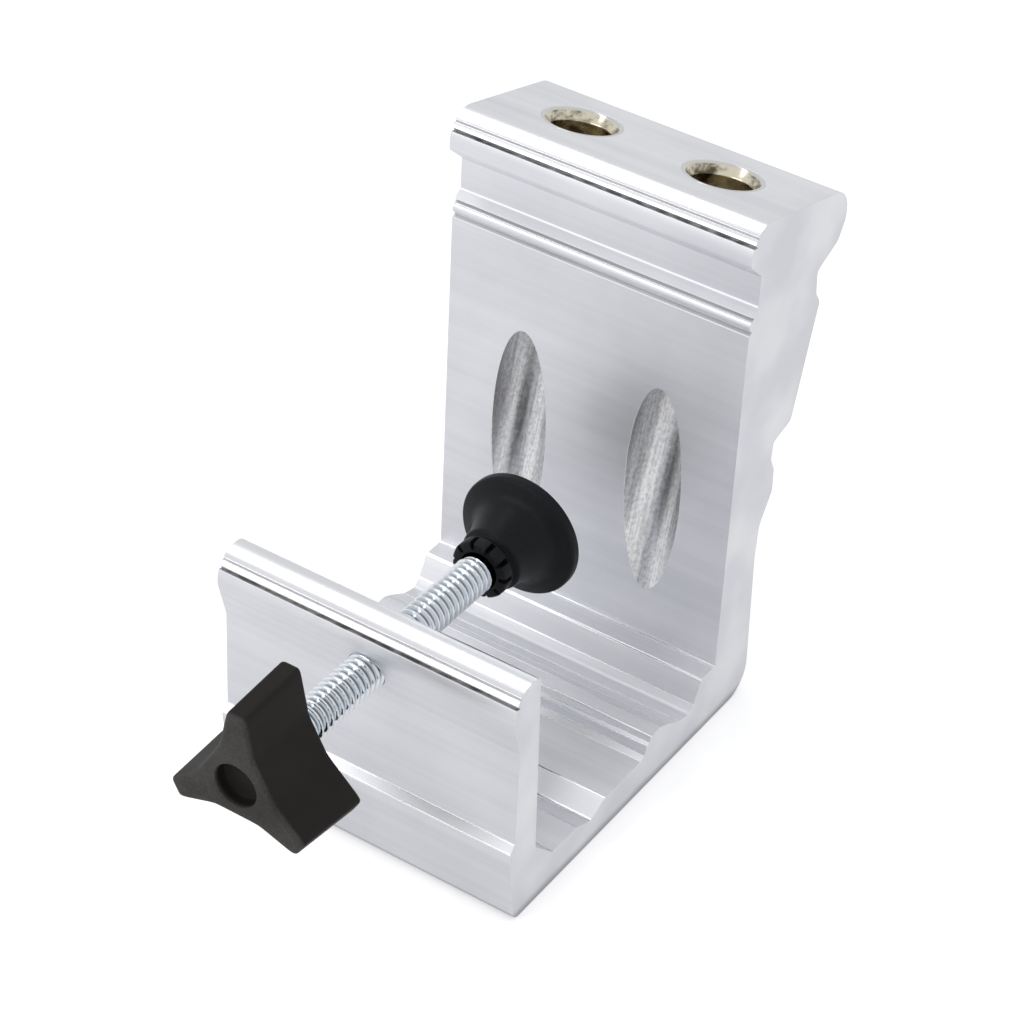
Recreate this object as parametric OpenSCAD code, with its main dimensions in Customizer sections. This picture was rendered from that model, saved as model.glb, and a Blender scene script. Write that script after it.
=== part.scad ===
// Pocket hole jig: an extruded aluminium J-body with two angled guide bushes,
// a clamp screw with a three-lobed knob and a ball-jointed clamping pad.
// X runs along the extrusion, Y from the front wall to the tall wall, Z up.
// The origin lies on the underside, below the middle of the clamping face.

/* [Body] */
// Width of the body, along the extrusion
body_w = 54; // [44:1:90]
// Height of the sloping top face, measured at the clamping face
head_h = 95.6; // [88:0.2:120]
// Depth of the head, from the clamping face to its back lip
head_d = 28; // [26:0.5:34]
// Inside of the front wall to the clamping face
throat = 52; // [44:1:80]
// Thickness of the floor between the walls
floor_t = 6.6; // [5:0.2:10]
// Height of the front wall
front_h = 46.4; // [44:0.2:60]
// Thickness of the front wall
front_t = 5.8; // [4.5:0.1:9]
// Thickness of the lower part of the tall wall
back_t = 9.8; // [8:0.2:14]
// How far the rounded lips stand out in front of their walls
lip_out = 1.4; // [0.8:0.1:2.5]
// Radius of the rounded lips
lip_r = 4.4; // [3.6:0.1:5]
// Depth of the recessed band below the head's lip
recess_d = 2.1; // [1:0.1:3]
// Height of the recessed band
recess_h = 5.7; // [4:0.1:9]
// Height of the head's front lip
lip_h = 7.1; // [6.6:0.1:10]
// Top face down to the clamping face's upper edge
head_t = 17; // [15:0.2:20]
// Height of the ribs on the floor
rib_h = 3.3; // [2:0.1:6]

/* [Drill guides] */
// Angle of the drill holes to the clamping face
bore_angle = 15; // [14:0.5:16]
// Drill guide hole, for a 9.5 mm stepped drill
guide_d = 9.6; // [8:0.1:10]
// Outside diameter of a guide bush
bush_d = 13; // [12:0.1:14]
// Length of a guide bush
bush_len = 16; // [10:0.5:18]
// Widening at the mouth of a bush
mouth_chamfer = 1.2; // [0.4:0.1:1.4]
// Depth of that widening
mouth_deep = 1.5; // [0.5:0.1:2.5]
// Distance between the two drill holes
guide_gap = 25.4; // [20:0.2:32]
// Drill hole's centre behind the clamping face, at the top face
guide_y = 13.8; // [13:0.1:15]
// Drill hole below the bush, where the drill leaves the body
exit_d = 10.2; // [9.8:0.1:11]
// Sloping back of the body to the drill hole's axis
slope_back = 13.8; // [12:0.2:15]
// Height at which the drilling stops, clear of the floor's ribs
drill_end = 18; // [16:0.5:20]

/* [Clamp screw] */
// Outside diameter of the screw
screw_d = 6.35; // [5:0.05:8]
// Height of the screw above the underside
screw_z = 37.2; // [32:0.2:39]
// Running clearance round the screw and the ball
clearance = 0.05; // [0.02:0.01:0.1]
// Ball at the end of the screw
ball_d = 7.6; // [7.2:0.1:8]
// Neck behind the ball
neck_d = 4.8; // [4:0.1:5.4]

/* [Pad] */
// Diameter of the pad's flange
pad_d = 21; // [18:0.5:26]
// Pad's face to the clamping face, as it stands
pad_gap = 17.2; // [6:0.1:22]
// Thickness of the flange's rim
pad_rim = 1.7; // [1.2:0.1:2.5]
// Length of the pad along the screw
pad_len = 12.4; // [11.5:0.1:15]
// Diameter of the hub round the ball
hub_d = 11.2; // [10.6:0.1:13]
// Diameter of the slotted collar
collar_d = 10; // [9.4:0.1:11]
// Number of slots that let the collar snap over the ball
collar_slots = 10; // [6:1:14]

/* [Knob] */
// Radius of the knob at its three tips, next to the screw
knob_r = 13.8; // [12:0.2:18]
// How much less that radius is at the knob's face
knob_draft = 0.9; // [0:0.1:1.5]
// Width of a lobe at its tip
lobe_w = 3.4; // [3:0.2:7]
// Knob's centre to the flat between two lobes
valley_r = 5.8; // [5.2:0.1:7]
// Thickness of the knob
knob_t = 13.4; // [11:0.2:18]
// Knob's back to the lip of the front wall
knob_gap = 17; // [4:0.5:24]
// Diameter of the round recess in the knob's face
recess_dia = 7.4; // [5:0.2:8.4]
// Depth of the round recess
recess_deep = 2.2; // [1:0.1:3]

/* [Fit] */
// Interference of the pressed bushes and of the screw in the knob
press = 0.01; // [0.005:0.005:0.02]

/* [Hidden] */
$fn = 96;

// An arc step turns by at most this angle, by twice it in a small arc and by
// four times it in an eased corner
arc_step = 15;
small_arc = 1.3;
eased = 0.55;
slope = tan(bore_angle);
face_h = head_h - head_t;
front_in = -throat;
front_out = front_in - front_t;
lip_front = front_out - lip_out - 0.6;
screw_r = screw_d / 2;
ball_r = ball_d / 2;
pad_face = -pad_gap;
ball_y = pad_face - pad_rim - ball_r - 0.2;
knob_back = lip_front - knob_gap;
knob_front = knob_back - knob_t;
// V-grooves in the lips: a deep one and a fine one, with the angles they lie at
line_w = 0.6;
line_d = 0.8;
line_at = 153;
fine_w = 0.36;
fine_d = 0.3;
fine_at = 134;
// Half-round bead along the top of the clamping face
bead_r = 1.1;

// Height of the sloping top face at a given depth
function top_z(y) = head_h - y * slope;
// Depth of a drill hole's axis at a given height
function bore_y(z) = guide_y - (top_z(guide_y) - z) * slope;
// Depth of the sloping back at a given height
function back_y(z) = bore_y(z) + slope_back / cos(bore_angle);

function unit(v) = v / norm(v);
function turn(a) = a > 180 ? a - 360 : a < -180 ? a + 360 : a;

// Corner b between a and c, replaced by an arc of radius r
function arc_corner(a, b, c, r) =
    let (u = unit(a - b), v = unit(c - b), half = acos(u * v) / 2,
         centre = b + unit(u + v) * r / sin(half),
         p = b + u * r / tan(half) - centre,
         q = b + v * r / tan(half) - centre,
         start = atan2(p[1], p[0]),
         sweep = turn(atan2(q[1], q[0]) - start),
         most = arc_step * (r < eased ? 4 : r < small_arc ? 2 : 1),
         steps = max(1, ceil(abs(sweep) / most)))
    [for (i = [0:steps]) centre + r * [cos(start + sweep * i / steps), sin(start + sweep * i / steps)]];

// Outline through corners given as [x, y, radius]
function outline(corners) =
    let (n = len(corners), p = [for (c = corners) [c[0], c[1]]])
    [for (i = [0:n - 1])
        each corners[i][2] == 0 ? [p[i]]
            : arc_corner(p[(i + n - 1) % n], p[i], p[(i + 1) % n], corners[i][2])];

// Angles from a to b, each as [angle, depth below the arc]
function along(a, b) =
    let (steps = ceil((b - a) / arc_step * 1.6))
    [for (i = [0:steps]) [a + (b - a) * i / steps, 0]];

// Rounded lip about a centre, from a given angle down to its upright front
function rounded_lip(centre, from) =
    let (wide = asin(line_w / 2 / lip_r), fine = asin(fine_w / 2 / lip_r))
    [for (p = concat(
            along(from, fine_at - fine), [[fine_at, fine_d]],
            along(fine_at + fine, line_at - wide), [[line_at, line_d]],
            along(line_at + wide, 180)))
        [centre[0] + (lip_r - p[1]) * cos(p[0]), centre[1] + (lip_r - p[1]) * sin(p[0]), 0]];

// Underside and back of the tall wall, from the front foot up to the back lip
step_z = face_h - 28;
neck_z = face_h - 8.2;
back_side = [
    [front_out + 0.5, 0, 1.8],
    [back_t + 1.4, 0, 5],
    [back_t, step_z - 23, 10],
    [back_t + 0.4, step_z - 16.6, 4],
    [back_t + 3.5, step_z - 11.6, 2],
    [back_t + 3.3, step_z - 7.2, 1.6],
    [back_t + 2, step_z - 4.6, 1],
    [back_t + 2.2, step_z - 1.3, 0.8],
    [back_y(step_z), step_z, 1.2],
    [back_y(neck_z), neck_z, 1.2],
    [back_y(neck_z) - 1.5, neck_z + 2.2, 1],
    [head_d - 7.6, neck_z + 6.5, 1]
];

// Head: back lip, sloping top face, rounded front lip, recessed band and bead
lip_foot = top_z(-lip_out) - lip_h;
lip_y = lip_r - lip_out;
bead_z = face_h - bead_r;
head = concat(
    [[head_d - 1.8, neck_z + 9.1, 2.2],
     [head_d, neck_z + 12.4, 2],
     [head_d, top_z(head_d), 5]],
    rounded_lip([lip_y, top_z(lip_y) - lip_r / cos(bore_angle)], 90 - bore_angle),
    [[-lip_out, lip_foot, 0.6],
     [recess_d, face_h + recess_h + 1.4, 0.6],
     [recess_d, face_h + 1.6, 0.6],
     [0.45, face_h + 0.45, 0],
     [bead_r, face_h + 0.05, 0]],
    [for (a = [125:22:235]) [bead_r + bead_r * cos(a), bead_z + bead_r * sin(a), 0]],
    [[line_d, bead_z - bead_r - 0.1, 0]]
);

// Clamping face, ribbed floor and the chamfer inside the front wall
rib_z = floor_t + rib_h;
inside = [
    [0, bead_z - bead_r - 0.45, 0],
    [0, rib_z + 1.5, 0.5],
    [-4, rib_z + 1.5, 0.6],
    [-6, floor_t + 1, 0.8],
    [-7.4, floor_t - 0.4, 1.2],
    [-10.5, floor_t + 0.4, 3],
    [-14, rib_z - 0.9, 2],
    [-16, rib_z, 0.8],
    [-19, rib_z, 0.4],
    [-19.4, rib_z - 1, 0.2],
    [-20.2, rib_z - 1.2, 0.2],
    [-20.6, floor_t + 0.5, 0.3],
    [-21.8, floor_t, 0.4],
    [front_in + 20, floor_t, 0.8],
    [front_in + 15.8, floor_t - 1.8, 1],
    [front_in + 12, floor_t - 0.3, 1],
    [front_in + 5, floor_t - 0.1, 1],
    [front_in, floor_t + 4.8, 1.6]
];

// Front wall: leaning inner face, rounded lip, tapered lip foot and front foot
lip_root = front_h - 12.4;
foot_z = 16.3;
front_wall = concat(
    [[front_in - 1.3, front_h - 0.5, 1]],
    rounded_lip([lip_front + lip_r, front_h - lip_r], 75),
    [[lip_front, lip_root + 7, 2],
     [front_out, lip_root, 1],
     [front_out, foot_z, 0.6],
     [front_out - lip_out, foot_z - lip_out, 0.6]]
);

// The whole cross-section of the extrusion, as [y, z]
section = outline(concat(back_side, head, inside, front_wall));

// Revolved outline with its axis along Y, pointing at the tall wall
module turned(points) {
    translate([0, 0, screw_z])
        rotate([-90, 0, 0])
            rotate_extrude()
                polygon(points);
}

// Places children on a drill hole: local Z runs up the hole, 0 at the top face
module at_guide(side) {
    translate([side * guide_gap / 2, guide_y, top_z(guide_y)])
        rotate([-bore_angle, 0, 0])
            children();
}

// Extruded body with the drill holes, bush seats and the screw's hole
module jig_body() {
    past = 20;
    color("gainsboro")
        difference() {
            rotate([90, 0, 90])
                linear_extrude(body_w, center = true)
                    polygon(section);
            for (side = [-1, 1])
                at_guide(side) {
                    translate([0, 0, -bush_len])
                        cylinder(h = bush_len + past, d = bush_d);
                    translate([0, 0, (drill_end - top_z(guide_y)) / cos(bore_angle)])
                        cylinder(h = head_h, d = exit_d);
                }
            translate([0, front_in + past, screw_z])
                rotate([90, 0, 0])
                    cylinder(h = front_t + 2 * past, d = screw_d + 2 * clearance);
        }
}

// Hardened bush with a widened mouth and an eased lower edge
module guide_bush(side) {
    outer = bush_d / 2 + press;
    bore = guide_d / 2;
    ease = 0.4;
    color("silver")
        at_guide(side)
            rotate_extrude()
                polygon([
                    [bore, -bush_len], [outer - ease, -bush_len], [outer, -bush_len + ease],
                    [outer, 0], [bore + mouth_chamfer, 0], [bore, -mouth_deep]
                ]);
}

module guide_bush_left() { guide_bush(-1); }
module guide_bush_right() { guide_bush(1); }

// Screw blank with its ball end; the thread's crests lie on this cylinder
module clamp_screw() {
    neck_r = neck_d / 2;
    neck_end = pad_face - pad_len - 0.2;
    seat = ball_r * cos(asin(neck_r / ball_r));
    ease = 0.5;
    knob_end = knob_front + recess_deep + 1.4;
    steps = 24;
    from = 180 - asin(neck_r / ball_r);
    color("lightsteelblue")
        turned(concat(
            [[0, knob_end], [screw_r - ease, knob_end], [screw_r, knob_end + ease],
             [screw_r, neck_end - ease], [neck_r, neck_end], [neck_r, ball_y - seat]],
            [for (i = [1:steps - 1])
                [ball_r * sin(from * (1 - i / steps)), ball_y + ball_r * cos(from * (1 - i / steps))]],
            [[0, ball_y + ball_r]]
        ));
}

// Bell-shaped pad: flat flange, waisted hub and a slotted collar over the ball
module clamp_pad() {
    pad_r = pad_d / 2;
    hub_r = hub_d / 2;
    collar_r = collar_d / 2;
    socket_r = ball_r + clearance;
    mouth_r = ball_r - 0.5;
    back = pad_face - pad_len;
    rim = pad_face - pad_rim;
    slot_w = 0.8;
    color([0.14, 0.14, 0.16])
        difference() {
            turned(outline([
                [0, pad_face, 0],
                [pad_r, pad_face, 0.4],
                [pad_r, rim, 0.5],
                [hub_r + 1.6, rim - 1.2, 2.5],
                [hub_r, rim - 5.4, 1.5],
                [hub_r - 0.2, back + 3.4, 0.5],
                [collar_r - 0.6, back + 2.9, 0.3],
                [collar_r - 0.4, back + 2.4, 0.2],
                [collar_r, back + 2, 0.3],
                [collar_r, back, 0.5],
                [0, back, 0]
            ]));
            translate([0, ball_y, screw_z])
                sphere(r = socket_r);
            turned([[0, back - 1], [mouth_r, back - 1], [mouth_r, ball_y], [0, ball_y]]);
            for (i = [0:collar_slots - 1])
                translate([0, back, screw_z])
                    rotate([0, i * 360 / collar_slots, 0])
                        translate([mouth_r - 0.3, -1, -slot_w / 2])
                            cube([collar_r, 2.8, slot_w]);
        }
}

// Three-lobed knob with rounded tips, a round recess and a blind hole
module star_knob() {
    valley_w = 3.3;
    blind = knob_front + recess_deep + 1.4;
    lobes = [for (k = [0:2]) let (a = -120 * k, c = cos(a), s = sin(a))
        each [for (p = [[-valley_w, valley_r, 2], [-lobe_w / 2, knob_r, 1],
                        [lobe_w / 2, knob_r, 1], [valley_w, valley_r, 2]])
            [p[0] * c - p[1] * s, p[0] * s + p[1] * c, p[2]]]];
    color([0.16, 0.14, 0.13])
        difference() {
            intersection() {
                translate([0, knob_back, screw_z])
                    rotate([90, 0, 0])
                        linear_extrude(knob_t)
                            polygon(outline(lobes));
                turned(outline([
                    [0, knob_front, 0], [knob_r - knob_draft, knob_front, 1.4],
                    [knob_r + 0.1, knob_back, 1], [0, knob_back, 0]
                ]));
            }
            turned([[0, knob_front - 1], [recess_dia / 2, knob_front - 1],
                    [recess_dia / 2, knob_front + recess_deep], [0, knob_front + recess_deep]]);
            turned([[0, blind], [screw_r - press, blind], [screw_r - press, knob_back + 1], [0, knob_back + 1]]);
        }
}

jig_body();
guide_bush_left();
guide_bush_right();
clamp_screw();
clamp_pad();
star_knob();
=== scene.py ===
# %% [markdown]
# # A pocket hole jig
#
# The jig is a length of aluminium extrusion with two steel drill bushes in its sloping
# head and a screw clamp in its low front wall. The CAD frame gives every size and every
# moving body. This lesson dresses that frame: it eases the sharp edges, cuts the thread
# that the CAD rod leaves out, and gives each metal and plastic its own finish.
#
# The frame is loaded first, because every piece below is placed by it.

# %% Load the frame
import math

import bmesh
import bpy
import numpy as np
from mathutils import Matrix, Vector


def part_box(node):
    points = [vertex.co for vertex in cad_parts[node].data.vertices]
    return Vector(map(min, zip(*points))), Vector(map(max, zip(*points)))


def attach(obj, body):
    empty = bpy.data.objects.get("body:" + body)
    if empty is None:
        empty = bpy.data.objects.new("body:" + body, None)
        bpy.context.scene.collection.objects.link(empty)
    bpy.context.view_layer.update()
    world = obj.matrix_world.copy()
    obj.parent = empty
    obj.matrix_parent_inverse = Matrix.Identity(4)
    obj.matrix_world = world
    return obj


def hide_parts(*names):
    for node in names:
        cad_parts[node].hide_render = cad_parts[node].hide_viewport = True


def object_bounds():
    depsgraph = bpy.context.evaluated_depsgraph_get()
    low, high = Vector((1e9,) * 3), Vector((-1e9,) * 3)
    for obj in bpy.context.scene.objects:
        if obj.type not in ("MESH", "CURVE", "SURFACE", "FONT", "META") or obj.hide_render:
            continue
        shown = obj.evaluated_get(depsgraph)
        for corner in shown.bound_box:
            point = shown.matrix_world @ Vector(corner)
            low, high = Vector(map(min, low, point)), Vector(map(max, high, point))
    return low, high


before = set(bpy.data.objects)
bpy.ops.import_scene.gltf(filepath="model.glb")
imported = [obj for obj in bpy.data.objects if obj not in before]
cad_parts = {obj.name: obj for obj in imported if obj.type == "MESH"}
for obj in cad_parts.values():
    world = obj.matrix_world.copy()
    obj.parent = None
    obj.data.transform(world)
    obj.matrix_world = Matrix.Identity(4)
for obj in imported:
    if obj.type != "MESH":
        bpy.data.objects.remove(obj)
cad_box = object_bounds()
MM = 0.001
print("CAD box", [list(corner) for corner in cad_box])

# %% [markdown]
# ## Camera
#
# The photograph was taken from the front right and above, with a long lens. A camera is
# easiest to read as a spot, a direction and a roll, so the matrix is built from those
# three. The roll is there because the photographer's camera wasn't quite level.

# %% Camera
def aim(spot, azimuth, elevation, roll):
    """Camera matrix at spot, looking along azimuth (0 is +Y, turning towards -X) and down
    by elevation, then rolled: right, up and back are the matrix's three columns."""
    a, e, r = (math.radians(v) for v in (azimuth, elevation, roll))
    forward = np.array([-math.sin(a) * math.cos(e), math.cos(a) * math.cos(e), -math.sin(e)])
    level = np.cross(forward, [0, 0, 1])
    level /= np.linalg.norm(level)
    up = np.cross(level, forward)
    matrix = np.eye(4)
    matrix[:3, 0] = level * math.cos(r) + up * math.sin(r)
    matrix[:3, 1] = up * math.cos(r) - level * math.sin(r)
    matrix[:3, 2] = -forward
    matrix[:3, 3] = spot
    return matrix


CAMERA_SPOT = (0.21491, -0.36113, 0.35586)
camera_data = bpy.data.cameras.new("camera")
camera_data.lens = 116.16
camera_data.sensor_width = 36
camera = bpy.data.objects.new("camera", camera_data)
camera.matrix_world = aim(CAMERA_SPOT, 32.27, 37.84, 2.96).T.tolist()
bpy.context.scene.collection.objects.link(camera)
bpy.context.scene.camera = camera
print("camera", [round(v, 3) for v in camera.location], "lens", camera_data.lens)

# %% [markdown]
# ## Shader maths as plain expressions
#
# A finish is mostly arithmetic on positions: stretch this noise, mask that edge. Wiring
# Math nodes by hand hides the formula, so one small class wraps a socket and lets an
# ordinary Python expression add the nodes. Anything that isn't arithmetic comes from
# its one method, `node`.

# %% The socket class
class Wire:
    """A shader socket that takes part in Python arithmetic."""

    def __init__(self, tree, socket):
        self.tree = tree
        self.socket = socket

    def node(self, kind, settings=None, inputs=None, out=0):
        """Adds any node: settings are set first, then the values or links of its sockets."""
        made = self.tree.nodes.new(kind)
        for name, value in (settings or {}).items():
            if name == "stops":
                set_stops(made.color_ramp, value)
            else:
                setattr(made, name, value)
        for name, value in (inputs or {}).items():
            if isinstance(value, Wire):
                self.tree.links.new(value.socket, made.inputs[name])
            else:
                made.inputs[name].default_value = value
        return Wire(self.tree, made.outputs[out])

    def maths(self, operation, *values):
        return self.node("ShaderNodeMath", {"operation": operation}, dict(enumerate(values)))

    def __add__(self, other):
        return self.maths("ADD", self, other)

    def __sub__(self, other):
        return self.maths("SUBTRACT", self, other)

    def __rsub__(self, other):
        return self.maths("SUBTRACT", other, self)

    def __mul__(self, other):
        return self.maths("MULTIPLY", self, other)

    def __truediv__(self, other):
        return self.maths("DIVIDE", self, other)

    def __pow__(self, other):
        return self.maths("POWER", self, other)

    __radd__ = __add__
    __rmul__ = __mul__

    def ramp(self, *stops):
        """The value through a colour ramp of (place, colour) stops."""
        return self.node("ShaderNodeValToRGB", {"stops": stops}, {"Fac": self})

    def step(self, low, high):
        """A smooth step: 0 below low, 1 above high."""
        return self.node("ShaderNodeMapRange", {"interpolation_type": "SMOOTHSTEP"},
                         {"Value": self, "From Min": low, "From Max": high})


def set_stops(ramp, stops):
    """Gives a colour ramp exactly these (place, colour) stops."""
    while len(ramp.elements) > len(stops):
        ramp.elements.remove(ramp.elements[-1])
    while len(ramp.elements) < len(stops):
        ramp.elements.new(1)
    for element, (place, colour) in zip(ramp.elements, stops):
        element.position = place
        element.color = (*colour, 1)


print("arithmetic on sockets: + - * / **, ramp, step and node")

# %% [markdown]
# ## Finishes
#
# Every finish starts from the same two things: where a point is on the object, and a
# glossy shader. `finish` makes both and hands them to a short recipe, which returns the
# colour, roughness and height that vary over the surface. What is the same all over the
# surface is set on the shader's own socket.

# %% A finish from a recipe
def finish(name, recipe, **constants):
    """A material: recipe(point) returns the inputs that vary, constants are the others."""
    material = bpy.data.materials.new(name)
    material.use_nodes = True
    tree = material.node_tree
    shader = tree.nodes["Principled BSDF"]
    coordinates = tree.nodes.new("ShaderNodeTexCoord")
    point = Wire(tree, coordinates.outputs["Object"])
    varying = recipe(point)
    height = varying.pop("height", None)
    depth = varying.pop("depth", 0)
    if height is not None:
        varying["Normal"] = height.node("ShaderNodeBump", None,
                                        {"Strength": 1, "Distance": depth, "Height": height})
    for socket, value in varying.items():
        tree.links.new(value.socket, shader.inputs[socket])
    for socket, value in constants.items():
        shader.inputs[socket].default_value = value
    print("finish", name, "with", len(tree.nodes), "nodes")
    return material


def stretched(point, scale, detail=2.0, roughness=0.5):
    """Noise on the point after stretching it by a scale for each axis."""
    placed = point.node("ShaderNodeMapping", None, {"Vector": point, "Scale": scale})
    return placed.node("ShaderNodeTexNoise", None,
                       {"Vector": placed, "Scale": 1.0, "Detail": detail, "Roughness": roughness})


def two_tones(mask, low, high):
    """Blends from colour low to colour high as mask goes from 0 to 1. Either colour may
    be a socket."""
    low, high = (c if isinstance(c, Wire) else (*c, 1) for c in (low, high))
    return mask.node("ShaderNodeMix", {"data_type": "RGBA"},
                     {"Factor": mask, "A": low, "B": high}, out="Result")


def axes(point):
    """The point's x, y and z as three sockets."""
    parts = point.node("ShaderNodeSeparateXYZ", None, {"Vector": point})
    return [Wire(parts.tree, parts.socket.node.outputs[axis]) for axis in "XYZ"]


# %% [markdown]
# ### Extruded aluminium
#
# The die leaves fine lines along the whole length of the bar, so the height is a noise
# that hardly changes along X and quickly across it. The faces are satin, so these lines
# are barely felt: their depth is a few thousandths of a millimetre. A slower noise makes
# broad bands, as the die wears unevenly, and a third one clouds the colour a little.
# The bar was etched, which leaves a thin dull oxide, so it isn't fully metallic. The
# rounded lips and the edges of the ribs are rubbed bright by handling, and they keep a
# much sharper shine. The lowest two millimetres are painted dark, a painted contact shade along the floor.

# %% Extruded aluminium
def extruded(point):
    lines = stretched(point, (12, 3500, 3500), 3.0, 0.6)
    bands = stretched(point, (5, 300, 300))
    clouds = stretched(point, (38, 38, 38), 3.0)
    tone = bands * 0.35 + clouds * 0.5 + lines * 0.15
    clean = two_tones(tone.step(0.30, 0.70), (0.72, 0.725, 0.76), (0.87, 0.875, 0.90))
    # painted shade: the lowest 2 mm of the bar turn dark grey, standing in for the contact shadow where it meets
    # the floor
    above_floor_shade = axes(point)[2].step(0.1 * MM, 1.9 * MM)
    return {"Base Color": two_tones(above_floor_shade, (0.30, 0.30, 0.32), clean),
            "Roughness": 0.37 + 0.08 * lines + 0.07 * clouds,
            "height": lines * 0.6 + bands * 0.4, "depth": 0.0022 * MM}


def rubbed(point):
    lines = stretched(point, (12, 3500, 3500), 3.0, 0.6)
    clouds = stretched(point, (60, 400, 400), 3.0)
    return {"Base Color": two_tones(clouds, (0.80, 0.805, 0.83), (0.87, 0.875, 0.90)),
            "Roughness": 0.20 + 0.05 * lines + 0.05 * clouds,
            "height": lines, "depth": 0.0002 * MM}


aluminium = finish("extruded_aluminium", extruded, Metallic=0.80)
bright_lip = finish("rubbed_lip", rubbed, Metallic=1.0)

# %% [markdown]
# ### Grooves
#
# The V-grooves beside the lips and the bead are painted dark and dull whatever they face:
# a painted shade that stands in for the shadow down in each narrow cut.

# %% Grooves
def painted_deep_cut_shade(point):
    patchiness = stretched(point, (420, 900, 900), 3.0, 0.6)
    # painted shade: the deep grooves under the lips are coloured dark grey in patches, standing in for the
    # shadow inside them
    return {"Base Color": two_tones(patchiness.step(0.35, 0.65), (0.32, 0.32, 0.33), (0.64, 0.64, 0.65)),
            "Roughness": 0.50 + 0.20 * patchiness}


def painted_shallow_cut_shade(point):
    patchiness = stretched(point, (60, 900, 900), 3.0, 0.6)
    # painted shade: the shallow grooves on the lips and beside the bead are coloured a darker grey, standing in
    # for their shade
    return {"Base Color": two_tones(patchiness.step(0.3, 0.7), (0.60, 0.60, 0.62), (0.70, 0.70, 0.72)),
            "Roughness": 0.42 + 0.15 * patchiness}


deep_groove_shade = finish("deep_groove_shade", painted_deep_cut_shade, Metallic=1.0)
shallow_groove_shade = finish("shallow_groove_shade", painted_shallow_cut_shade, Metallic=1.0)

# %% [markdown]
# ### Sawn ends
#
# The ends of the bar are cut with a saw and linished. They scatter light more evenly
# than the drawn faces, with short scratches that mostly run one way. Their lower edge
# is painted darker, a painted shade for the floor's contact shadow seen in it.

# %% Sawn ends
def sawn(point):
    scratches = stretched(point, (900, 900, 5200), 3.0, 0.65)
    clouds = stretched(point, (70, 70, 70))
    clean = two_tones(clouds.step(0.3, 0.7), (0.77, 0.775, 0.815), (0.90, 0.905, 0.925))
    # painted shade: the sawn end darkens towards its lower edge, standing in for the floor's contact shadow
    # mirrored there
    above_floor_shade = (axes(point)[2] + clouds * 0.8 * MM).step(0.5 * MM, 2.6 * MM)
    return {"Base Color": two_tones(above_floor_shade, (0.48, 0.48, 0.51), clean),
            "Roughness": 0.40 + 0.10 * scratches,
            "height": scratches, "depth": 0.0018 * MM}


sawn_aluminium = finish("sawn_aluminium", sawn, Metallic=0.85)

# %% [markdown]
# ### Drilled aluminium
#
# A drill leaves torn, mottled walls. Chips that ride up the flutes scratch fine streaks
# along the hole, so one noise is stretched that way, and a coarser one tears it up into
# the speckles that the photograph shows inside both slots. Faint rings lie across it.

# %% Drilled aluminium
BORE_ANGLE = math.radians(15)


def upright(point):
    """The point turned about X so that its z runs up the drill holes, and that z."""
    turned = point.node("ShaderNodeMapping", None, {"Vector": point, "Rotation": (BORE_ANGLE, 0, 0)})
    return turned, turned.node("ShaderNodeSeparateXYZ", None, {"Vector": turned}, out="Z")


def drilled(point):
    turned, along = upright(point)
    tears = stretched(turned, (1700, 1700, 1300), 4.0, 0.7)
    streaks = stretched(turned, (2400, 2400, 90), 3.0, 0.65)
    rings = along.maths("SINE", along * 9000 + tears * 9) * 0.5 + 0.5
    tone = (streaks * 0.45 + tears * 0.55).step(0.36, 0.62)
    return {"Base Color": two_tones(tone, (0.54, 0.54, 0.55), (0.92, 0.92, 0.93)),
            "Roughness": 0.24 + 0.18 * tears,
            "height": rings * 0.2 + tears * 0.5 + streaks * 0.3, "depth": 0.020 * MM}


drilled_aluminium = finish("drilled_aluminium", drilled, Metallic=1.0)

# %% [markdown]
# ### Steel, zinc and plastic
#
# The bushes are hardened steel: the rim on top is ground clean, and the widened mouth and
# the bore below it are browned by the quench. Deeper down the bore the colour is painted paler, painted light
# that stands in for the light reflected down the bore. The screw is zinc plated, which is bluer and brighter,
# and its thread roots are painted dark, a painted shade between the crests. The pad is smooth black nylon. The
# knob is a browner moulding with a fine spark-eroded grain, and its face is paler and speckled.

# %% Steel, zinc and plastic
MOUTH_ALONG = (13.8 * math.sin(BORE_ANGLE) + 91.902 * math.cos(BORE_ANGLE)) * MM


def ground(point):
    along = upright(point)[1]
    marks = stretched(point, (200, 200, 420), 4.0, 0.65)
    mouth = along.step(MOUTH_ALONG - 0.40 * MM, MOUTH_ALONG - 0.15 * MM)
    deep = 1.0 - along.step(MOUTH_ALONG - 4.5 * MM, MOUTH_ALONG - 2.5 * MM)
    browned = two_tones(marks.step(0.36, 0.58), (0.12, 0.10, 0.06), (0.80, 0.74, 0.59))
    # painted light: deeper in the bore the colours turn paler, standing in for light reflected down from the
    # mouth
    painted_bore_light = two_tones(marks.step(0.32, 0.62), (0.30, 0.24, 0.13), (0.86, 0.76, 0.55))
    return {"Base Color": two_tones(mouth, two_tones(deep, browned, painted_bore_light), (0.70, 0.70, 0.68)),
            "Roughness": 0.10 + 0.14 * marks + 0.40 * deep,
            "height": marks, "depth": 0.008 * MM}


def plated(point):
    clouds = stretched(point, (400, 400, 400), 2.0)
    x, _, z = axes(point)
    z = z - 37.2 * MM
    radius = (x * x + z * z) ** 0.5
    # painted shade: the colour darkens from the crests down to the roots of the thread, standing in for the
    # shade between the crests
    crest = radius.step(2.45 * MM, 3.0 * MM) * 0.85 + clouds * 0.15
    return {"Base Color": two_tones(crest, (0.22, 0.25, 0.28), (0.88, 0.92, 0.96)),
            "Roughness": 0.10 + 0.08 * clouds}


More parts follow.
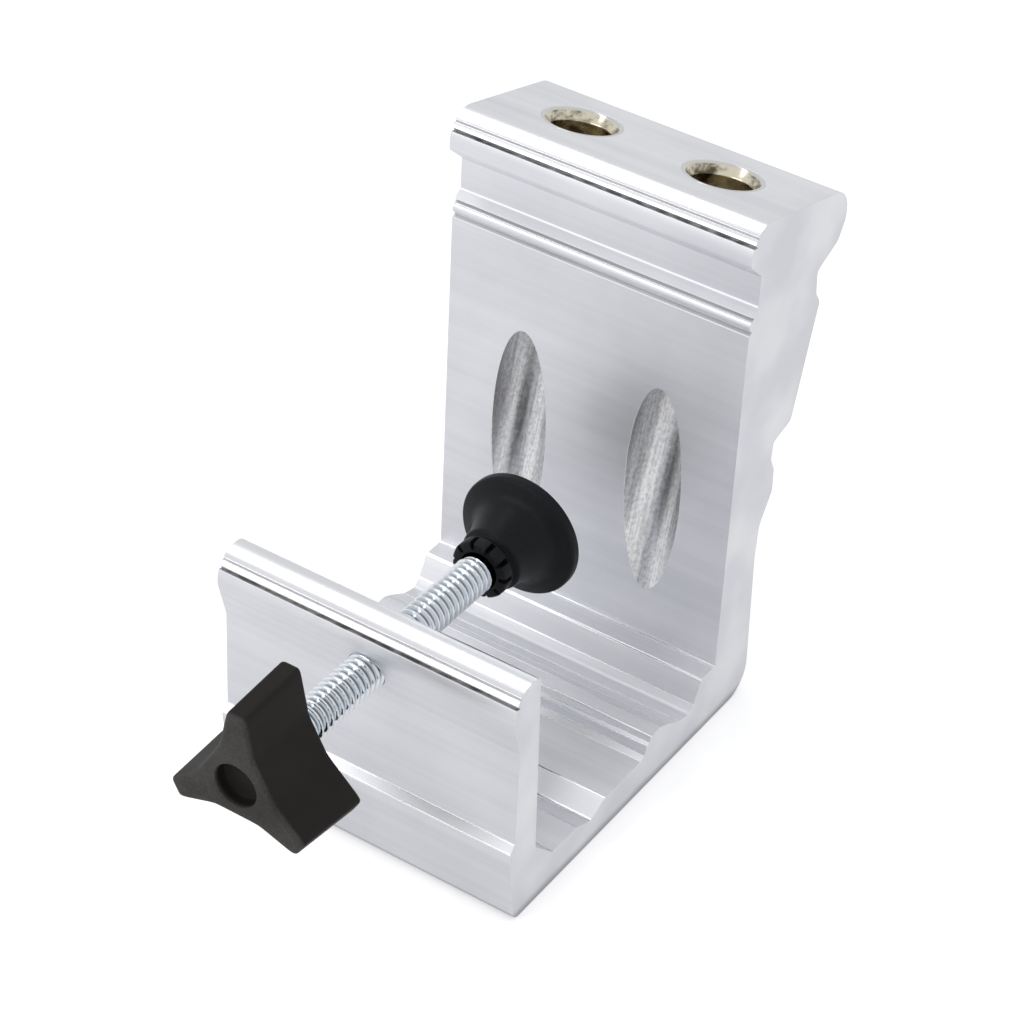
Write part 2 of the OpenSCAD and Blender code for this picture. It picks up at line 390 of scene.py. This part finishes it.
def moulded_pad(point):
    grain = stretched(point, (2200, 2200, 2200), 2.0)
    return {"Base Color": two_tones(grain, (0.004, 0.004, 0.006), (0.009, 0.010, 0.012)),
            "Roughness": 0.38 + 0.10 * grain,
            "height": grain, "depth": 0.006 * MM}


def moulded_knob(point):
    grain = stretched(point, (2600, 2600, 2600), 3.0, 0.6)
    clouds = stretched(point, (160, 160, 160), 2.0)
    face = 1.0 - axes(point)[1].step(-90.0 * MM, -89.4 * MM)
    plain = two_tones(clouds * 0.6 + grain * 0.4, (0.009, 0.008, 0.007), (0.020, 0.017, 0.015))
    # the knob's front face, past y = -89.4 mm, is coloured paler and speckled
    pale_face = two_tones((grain * 0.5 + clouds * 0.5).step(0.3, 0.7), (0.030, 0.027, 0.025), (0.066, 0.060, 0.057))
    return {"Base Color": two_tones(face, plain, pale_face), "Roughness": 0.50 + 0.12 * grain,
            "height": grain, "depth": 0.014 * MM}


bush_steel = finish("ground_steel", ground, Metallic=1.0)
zinc = finish("zinc_plate", plated, Metallic=1.0)
PLASTIC_SHINE = {"Specular IOR Level": 0.16}
pad_nylon = finish("pad_nylon", moulded_pad, **PLASTIC_SHINE)
knob_plastic = finish("knob_plastic", moulded_knob, **PLASTIC_SHINE)

# %% [markdown]
# ## Surfaces from numpy
#
# Most pieces of the jig are turned or moulded round one axis. Such a piece is a grid of
# points: rows run along its profile and columns run round it. The whole grid is worked
# out as arrays, and one helper turns it into a closed mesh with its faces pointing
# outwards.

# %% A closed surface from a grid
SCREW_Z = 37.2


def closed_surface(name, x, y, z):
    """A mesh from three grids in millimetres, the same size: columns go round and join
    up, and rows of equal points, such as a pole, are merged into one."""
    rows, columns = x.shape
    points = np.stack([x, y, z], axis=-1).reshape(-1, 3) * MM
    index = np.arange(rows * columns).reshape(rows, columns)
    ahead = np.roll(index, -1, axis=1)
    quads = np.stack([index[:-1], index[1:], ahead[1:], ahead[:-1]], axis=-1).reshape(-1, 4)
    mesh = bpy.data.meshes.new(name)
    mesh.from_pydata(points.tolist(), [], quads.tolist())
    work = bmesh.new()
    work.from_mesh(mesh)
    bmesh.ops.remove_doubles(work, verts=work.verts, dist=1e-7)
    bmesh.ops.recalc_face_normals(work, faces=work.faces)
    work.to_mesh(mesh)
    work.free()
    mesh.shade_smooth()
    piece = bpy.data.objects.new(name, mesh)
    bpy.context.scene.collection.objects.link(piece)
    print(name, "has", len(mesh.polygons), "faces")
    return piece


def about_screw(radius, angle, along):
    """Grids of x, y and z for points at a radius and angle about the screw's axis."""
    radius, angle, along = np.broadcast_arrays(radius, angle, along)
    return radius * np.cos(angle), along, radius * np.sin(angle) + SCREW_Z


def rounded(corners, steps=5):
    """A profile through (radius, place, round) corners. A corner of round r becomes a
    quadratic curve that starts and ends r before and after it."""
    corners = np.array(corners, dtype=float)
    points, rounds = corners[:, :2], corners[:, 2]
    before = np.roll(points, 1, axis=0) - points
    after = np.roll(points, -1, axis=0) - points
    before /= np.maximum(np.linalg.norm(before, axis=1, keepdims=True), 1e-9)
    after /= np.maximum(np.linalg.norm(after, axis=1, keepdims=True), 1e-9)
    t = np.linspace(0, 1, steps)[None, :, None]
    reach = rounds[:, None, None]
    curve = points[:, None] + reach * ((1 - t) ** 2 * before[:, None] + t ** 2 * after[:, None])
    return curve.reshape(-1, 2)


print("closed_surface, about_screw and rounded are ready")


# %% [markdown]
# ## Riding on the frame
#
# Each new piece takes the place of a CAD node: it moves with that node's body and stands
# for it in the visual model.

# %% Settle a piece
def settle(piece, material, body, node):
    """Gives the piece its finish and rides it on its body in place of a CAD node."""
    piece.data.materials.append(material)
    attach(piece, body)
    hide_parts(node)
    low, high = (np.array(corner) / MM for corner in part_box(node))
    print(piece.name, "stands for", node, "of", np.round(high - low, 1).tolist(), "mm")


# %% [markdown]
# ## The body
#
# The extruded section, its bush seats and its drill slots are already right in the CAD
# node, so the simplest way is to copy it, weld its loose triangles back into whole faces
# and bevel the edges that turn sharply. A real edge is never quite sharp: it is deburred,
# and that small round catches the light. The long faces lie beside very narrow ones, so
# the normals are weighted by area, or the flat faces would look bowed.

# %% Body
def welded_copy(node, name, sharp):
    """A copy of a CAD node with its triangles merged and dissolved into whole faces."""
    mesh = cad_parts[node].data.copy()
    mesh.materials.clear()
    work = bmesh.new()
    work.from_mesh(mesh)
    bmesh.ops.remove_doubles(work, verts=work.verts, dist=1e-6)
    bmesh.ops.dissolve_limit(work, angle_limit=math.radians(0.6), verts=work.verts,
                             edges=work.edges)
    work.to_mesh(mesh)
    work.free()
    mesh.shade_smooth()
    mesh.set_sharp_from_angle(angle=math.radians(sharp))
    piece = bpy.data.objects.new(name, mesh)
    bpy.context.scene.collection.objects.link(piece)
    print(name, "has", len(mesh.polygons), "faces")
    return piece


body = welded_copy("jig_body", "extruded_body", 33)
bevel = body.modifiers.new("eased", "BEVEL")
bevel.width = 0.14 * MM
bevel.limit_method = "ANGLE"
bevel.angle_limit = math.radians(40)
bevel.segments = 2
weighted = body.modifiers.new("weighted", "WEIGHTED_NORMAL")
weighted.keep_sharp = True
settle(body, aluminium, "jig", "jig_body")

# %% [markdown]
# A face belongs to a finish by where it is. The ends of the bar face along X. A wall of
# a drill hole lies one radius from the hole's axis and faces it, a lip lies one radius
# from its own middle, and the walls of a groove lie within half a millimetre of its
# bottom. An edge of a rib is a face less than 0.5 mm wide. The grooves run the whole length of the bar, so only
# their places in the section matter.

# %% Which face has which finish
GUIDE_X = 12.7 * MM
BORE_AT_FACE = 40.4 * MM
EXIT_RADIUS = 5.1 * MM
LIP_RADIUS = 4.4
HEAD_LIP = np.array([3.0, 90.241])
FRONT_LIP = np.array([-55.4, 42.0])
BEAD = np.array([[1.1, 77.5]])
BEAD_RADIUS = 1.1


def on_lip(centre, angle, depth):
    """The bottom of a groove, depth below the lip's round surface."""
    a = math.radians(angle)
    return centre + (LIP_RADIUS - depth) * np.array([math.cos(a), math.sin(a)])


DARK = np.array([on_lip(HEAD_LIP, 153, 0.8), on_lip(FRONT_LIP, 153, 0.8)]) * MM
FINE = np.array([on_lip(HEAD_LIP, 134, 0.3), on_lip(FRONT_LIP, 134, 0.3)]) * MM
BESIDE_BEAD = np.array([[1.1, 78.65], [0.8, 76.3]]) * MM


def face_arrays(mesh):
    """Each face's normal and middle, as two arrays."""
    count = len(mesh.polygons)
    normals = np.empty(count * 3)
    middles = np.empty(count * 3)
    mesh.polygons.foreach_get("normal", normals)
    mesh.polygons.foreach_get("center", middles)
    return normals.reshape(-1, 3), middles.reshape(-1, 3)


def in_bore(points, normals):
    """Which faces are walls of a drill hole: one radius from the nearer hole's axis, and
    facing square to that axis, which leans back in the YZ plane."""
    across = points[:, 1] * math.cos(BORE_ANGLE)
    across = across - (points[:, 2] - BORE_AT_FACE) * math.sin(BORE_ANGLE)
    away = np.hypot(np.abs(points[:, 0]) - GUIDE_X, across)
    facing = normals @ np.array([0, math.sin(BORE_ANGLE), math.cos(BORE_ANGLE)])
    return (np.abs(away / EXIT_RADIUS - 1) < 0.06) & (np.abs(facing) < 0.1)


def nearest(points, places):
    """Distance in the section from each point to the nearest of some places."""
    gap = points[:, None, 1:] - places[None]
    return np.linalg.norm(gap, axis=2).min(axis=1)


for material in (sawn_aluminium, drilled_aluminium, deep_groove_shade, shallow_groove_shade, bright_lip):
    body.data.materials.append(material)
normals, middles = face_arrays(body.data)
long_face = np.abs(normals[:, 0]) < 0.99
choice = np.where(long_face, 0, 1)
lips = np.array([HEAD_LIP, FRONT_LIP]) * MM
round_face = np.abs(nearest(middles, lips) / MM - LIP_RADIUS) < 0.12
round_face |= np.abs(nearest(middles, BEAD * MM) / MM - BEAD_RADIUS) < 0.12
choice[long_face & round_face & (normals[:, 1] < 0.3) & (normals[:, 2] > 0.45)] = 5
areas = np.empty(len(choice))
body.data.polygons.foreach_get("area", areas)
narrow = areas < 0.5 * MM * (cad_box[1][0] - cad_box[0][0])
choice[long_face & narrow & (middles[:, 2] < 0.05) & (normals[:, 2] > 0.2)] = 5
choice[in_bore(middles, normals)] = 2
choice[long_face & (nearest(middles, DARK) < 0.52 * MM)] = 3
choice[long_face & (nearest(middles, FINE) < 0.26 * MM)] = 4
choice[long_face & (nearest(middles, BESIDE_BEAD) < 0.52 * MM)] = 4
body.data.polygons.foreach_set("material_index", choice.astype(np.int32))
print("faces by finish", np.bincount(choice).tolist())

# %% [markdown]
# ## The drill bushes
#
# A drill bush is a hardened tube, ground inside and out, with a widened mouth that leads
# the drill in. Its profile is turned about the drill's axis, which leans back by the
# angle of a pocket hole.

# %% Drill bushes
BUSH_TOP = np.array([0, 13.8, 91.902])


def bush(side):
    """The bush's closed profile turned about an upright axis, then tilted back by the
    bore angle and moved to the mouth: y' = y cos a + z sin a, z' = z cos a - y sin a."""
    corners = [(4.8, -16, 0.2), (6.1, -16, 0.1), (6.51, -15.6, 0.1), (6.51, 0, 0.12),
               (6.0, 0, 0.12), (4.8, -1.5, 0.25)]
    profile = rounded(corners, 4)
    profile = np.vstack([profile, profile[:1]])
    angle = np.linspace(0, 2 * math.pi, 96, endpoint=False)
    x = profile[:, :1] * np.cos(angle)
    y = profile[:, :1] * np.sin(angle)
    z = np.broadcast_to(profile[:, 1:], x.shape)
    tilted_y = y * math.cos(BORE_ANGLE) + z * math.sin(BORE_ANGLE)
    tilted_z = z * math.cos(BORE_ANGLE) - y * math.sin(BORE_ANGLE)
    middle = side * GUIDE_X / MM
    return x + middle, tilted_y + BUSH_TOP[1], tilted_z + BUSH_TOP[2]


for side, name in ((-1, "left"), (1, "right")):
    piece = closed_surface(f"steel_bush_{name}", *bush(side))
    settle(piece, bush_steel, "jig", f"guide_bush_{name}")

# %% [markdown]
# ## The pad
#
# The pad is one moulding: a flat flange, a bell-shaped hub and a collar that is slotted so
# that it springs over the screw's ball. Nearly all of it is turned. The slots are cut in
# the same surface: within a slot, the collar's radius falls to that of its bore, and the
# columns stand close together at each slot's sides so that they come out straight.

# %% Pad
BALL_Y = -22.9
SOCKET = 3.85
MOUTH = 3.3


def slotted_pad():
    """Radius by angle and place along the screw: a turned profile, pulled in to 3.75 mm
    where |angle| from a slot's middle is under 0.082 rad and the place is in the collar."""
    outside = rounded([(0, -17.2, 0), (10.5, -17.2, 0.4), (10.5, -18.9, 0.5), (7.2, -20.1, 1.3),
                       (5.6, -24.3, 1.2), (5.4, -26.2, 0.3), (4.4, -26.7, 0.2), (4.6, -27.2, 0.1),
                       (5.0, -27.6, 0.1), (5.0, -27.78, 0)], 6)
    collar = [[5.0, -27.82], [5.0, -29.1], [4.85, -29.45], [4.5, -29.6], [MOUTH, -29.6]]
    lat = np.linspace(math.asin(MOUTH / SOCKET), math.pi, 14)
    socket = np.stack([SOCKET * np.sin(lat), BALL_Y - SOCKET * np.cos(lat)], axis=1)
    profile = np.vstack([outside, collar, socket])
    one = np.concatenate([[-0.078, -0.026, 0.026, 0.078], np.linspace(0.086, 0.542, 9)])
    angle = (np.arange(10)[:, None] * 2 * math.pi / 10 + one).ravel()
    radius = np.repeat(profile[:, :1], len(angle), axis=1)
    in_slot = np.tile(np.abs(one) < 0.082, 10)
    in_collar = profile[:, 1] < -27.8
    radius = np.where(in_slot & in_collar[:, None] & (radius > 3.75), 3.75, radius)
    return about_screw(radius, angle, profile[:, 1:])


pad = closed_surface("swivel_pad", *slotted_pad())
pad.data.set_sharp_from_angle(angle=math.radians(50))
settle(pad, pad_nylon, "pad", "clamp_pad")

# %% [markdown]
# ## The knob
#
# The knob is moulded on the end of the screw. Its outline has three lobes with straight
# flanks, joined by flats. In polar form, a straight line at distance d from the middle,
# whose normal points at angle a, is d / cos(angle - a). The outline is then a smooth
# smaller-of for the tip and the flank, and a smooth larger-of for that and the flat. To
# round the rims, all three distances shrink together, which moves the outline inwards by
# the same amount everywhere. They also shrink a little towards the face, because the
# moulding has a draft.

# %% Lobed knob
TIP, FLANK, FLAT = 13.8, 4.373, 5.758
FLANK_NORMAL = math.radians(78.7)
DRAFT = 0.9
KNOB_FACE, KNOB_BACK = -90.2, -76.8


def lobed(angle, inset, draft):
    """Radius of the outline: tip = T / cos a, flank = F / cos(a - 78.7), flat = V /
    cos(a - 60), where a is the angle from the nearest lobe's middle; then
    (tip^-n + flank^-n)^(-1/n) and (that^m + flat^m)^(1/m)."""
    a = np.abs(np.mod(angle - math.pi / 2 + math.pi / 3, 2 * math.pi / 3) - math.pi / 3)
    tip = (TIP - inset - draft) / np.cos(a)
    flank = (FLANK - inset - 0.2 * draft) / np.cos(a - FLANK_NORMAL)
    flat = (FLAT - inset) / np.cos(a - math.pi / 3)
    lobe = (tip ** -26.0 + flank ** -26.0) ** (-1 / 26)
    return (lobe ** 34.0 + flat ** 34.0) ** (1 / 34)


def knob_surface():
    """Rows from the pole of the back, over the back rim, along the lobes, over the face's
    rim, across the face, down the round recess and to the pole of its floor."""
    angle = np.linspace(0, 2 * math.pi, 420, endpoint=False)[None]
    turn = np.linspace(0, math.pi / 2, 6)[:, None]
    depth = np.linspace(0, 1, 8)[:, None]
    rim = 0.75
    inset = np.vstack([rim * (1 - np.sin(turn)), 0 * depth, rim * (1 - np.cos(turn))])
    along = np.vstack([KNOB_BACK - rim * (1 - np.cos(turn)),
                       KNOB_BACK - rim - (KNOB_BACK - KNOB_FACE - 2 * rim) * depth,
                       KNOB_FACE + rim * (1 - np.sin(turn))])
    draft = DRAFT * (KNOB_BACK - along) / (KNOB_BACK - KNOB_FACE)
    sides = lobed(angle, inset, draft)
    blend = np.linspace(0, 1, 5)[1:, None]
    face = sides[-1:] * (1 - blend) + 3.85 * blend
    recess = np.array([[3.76, 0.03], [3.70, 0.12], [3.68, 1.2], [3.66, 2.12], [3.58, 2.2], [1.8, 2.2], [0, 2.2]])
    radius = np.vstack([sides[:1] * np.array([[0], [0.3], [0.6], [0.85]]), sides, face,
                        recess[:, :1] + 0 * angle])
    place = np.vstack([[[KNOB_BACK]] * 4, along, [[KNOB_FACE]] * 4, KNOB_FACE + recess[:, 1:]])
    return about_screw(radius, angle, place)


knob = closed_surface("lobed_knob", *knob_surface())
knob.data.set_sharp_from_angle(angle=math.radians(60))
settle(knob, knob_plastic, "screw", "star_knob")

# %% [markdown]
# ## The thread
#
# The CAD screw is a plain rod at the thread's outside diameter. The thread itself is a
# surface of two numbers: the angle round the screw and the place along it. Its radius
# falls and rises once every pitch, and the fall slides along by one pitch for every
# turn, which makes it a right-hand helix.

# %% Threaded rod
PITCH = 1.27
CREST = 3.175
ROOT = 2.46


def thread_radius(angle, along):
    """60 degree thread: a triangle wave of the pitch, cut flat at crest and root."""
    phase = np.mod(along / PITCH - angle / (2 * math.pi), 1)
    wave = np.abs(2 * phase - 1)
    return ROOT + (CREST - ROOT) * np.clip((wave - 0.12) / 0.60, 0, 1)


def threaded_rod():
    """Rows: the outer end's pole, the thread with a taper at both ends, the neck and the
    ball, whose radius is 3.8 sin(lat) at 3.8 cos(lat) from its middle."""
    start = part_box("clamp_screw")[0][1] / MM
    neck_end = -29.8
    angle = np.linspace(0, 2 * math.pi, 64, endpoint=False)
    along = np.linspace(start, neck_end, 1000)[:, None]
    thread = thread_radius(angle, along)
    thread = np.minimum(thread, np.minimum(along - start, neck_end - along) + 2.4)
    lat = np.linspace(math.asin(2.4 / 3.8), math.pi, 28)[:, None]
    radius = np.vstack([0 * angle, thread, 2.4 + 0 * angle, 3.8 * np.sin(lat) + 0 * angle])
    place = np.vstack([[[start]], along, [[neck_end]], BALL_Y - 3.8 * np.cos(lat)])
    return about_screw(radius, angle, place)


rod = closed_surface("threaded_rod", *threaded_rod())
rod.data.set_sharp_from_angle(angle=math.radians(40))
settle(rod, zinc, "screw", "clamp_screw")

# %% [markdown]
# ## Floor, world and lamp
#
# Bare metal shows its surroundings more than itself. The flat faces of the jig look
# evenly pale grey and the rounded lips flash white twice, with a grey line between. So
# the room is an even pale grey with two soft lamps on the left: one overhead and one in
# front, and the gap between them is what the grey line mirrors. The floor and the world
# are pure white to the camera alone, and the floor is a little brighter to a mirror ray.

# %% Floor
def sheet(name, size, height):
    half = size / 2
    corners = [(-half, -half, height), (half, -half, height), (half, half, height), (-half, half, height)]
    mesh = bpy.data.meshes.new(name)
    mesh.from_pydata(corners, [], [(0, 1, 2, 3)])
    made = bpy.data.objects.new(name, mesh)
    bpy.context.scene.collection.objects.link(made)
    return made


floor = sheet("floor", 6.0, 0.0)
paper = bpy.data.materials.new("white_paper")
paper.use_nodes = True
tree = paper.node_tree
paper_shader = tree.nodes["Principled BSDF"]
paper_shader.inputs["Base Color"].default_value = (0.82, 0.82, 0.825, 1)
paper_shader.inputs["Roughness"].default_value = 1.0
paper_shader.inputs["Specular IOR Level"].default_value = 0.0
paper_shader.inputs["Emission Color"].default_value = (1, 1, 1, 1)
light_path = tree.nodes.new("ShaderNodeLightPath")
camera_ray = Wire(tree, light_path.outputs["Is Camera Ray"])
mirror_ray = Wire(tree, light_path.outputs["Is Glossy Ray"])
tree.links.new((camera_ray * 0.42 + mirror_ray * 0.12).socket, paper_shader.inputs["Emission Strength"])
floor.data.materials.append(paper)
print("floor", floor.dimensions[:2])

# %% World and lamp
world = bpy.data.worlds.new("studio")
bpy.context.scene.world = world
world.use_nodes = True
background = world.node_tree.nodes["Background"]
background.inputs["Color"].default_value = (0.985, 0.99, 1.0, 1)
light_path = world.node_tree.nodes.new("ShaderNodeLightPath")
camera_ray = Wire(world.node_tree, light_path.outputs["Is Camera Ray"])
world.node_tree.links.new((camera_ray * 0.3 + 0.78).socket, background.inputs["Strength"])


def softbox(name, spot, target, width, height, power):
    """A rectangular area lamp at spot, facing target."""
    data = bpy.data.lights.new(name, "AREA")
    data.shape = "RECTANGLE"
    data.size = width
    data.size_y = height
    data.energy = power
    lamp = bpy.data.objects.new(name, data)
    facing = np.array(target, dtype=float) - np.array(spot, dtype=float)
    back = -facing / np.linalg.norm(facing)
    side = np.cross([0, 0, 1], back)
    side /= np.linalg.norm(side)
    matrix = np.eye(4)
    matrix[:3, 0] = side
    matrix[:3, 1] = np.cross(back, side)
    matrix[:3, 2] = back
    matrix[:3, 3] = spot
    lamp.matrix_world = matrix.T.tolist()
    bpy.context.scene.collection.objects.link(lamp)
    print("lamp", name, "of", power, "W")
    return lamp


MIDDLE = (0, -0.02, 0.055)
softbox("overhead", (-0.42, 0.10, 0.90), MIDDLE, 0.7, 0.17, 0.95)
softbox("front_left", (-0.42, -0.80, 0.50), MIDDLE, 0.8, 0.36, 2.0)

bpy.context.scene.view_settings.view_transform = "Standard"
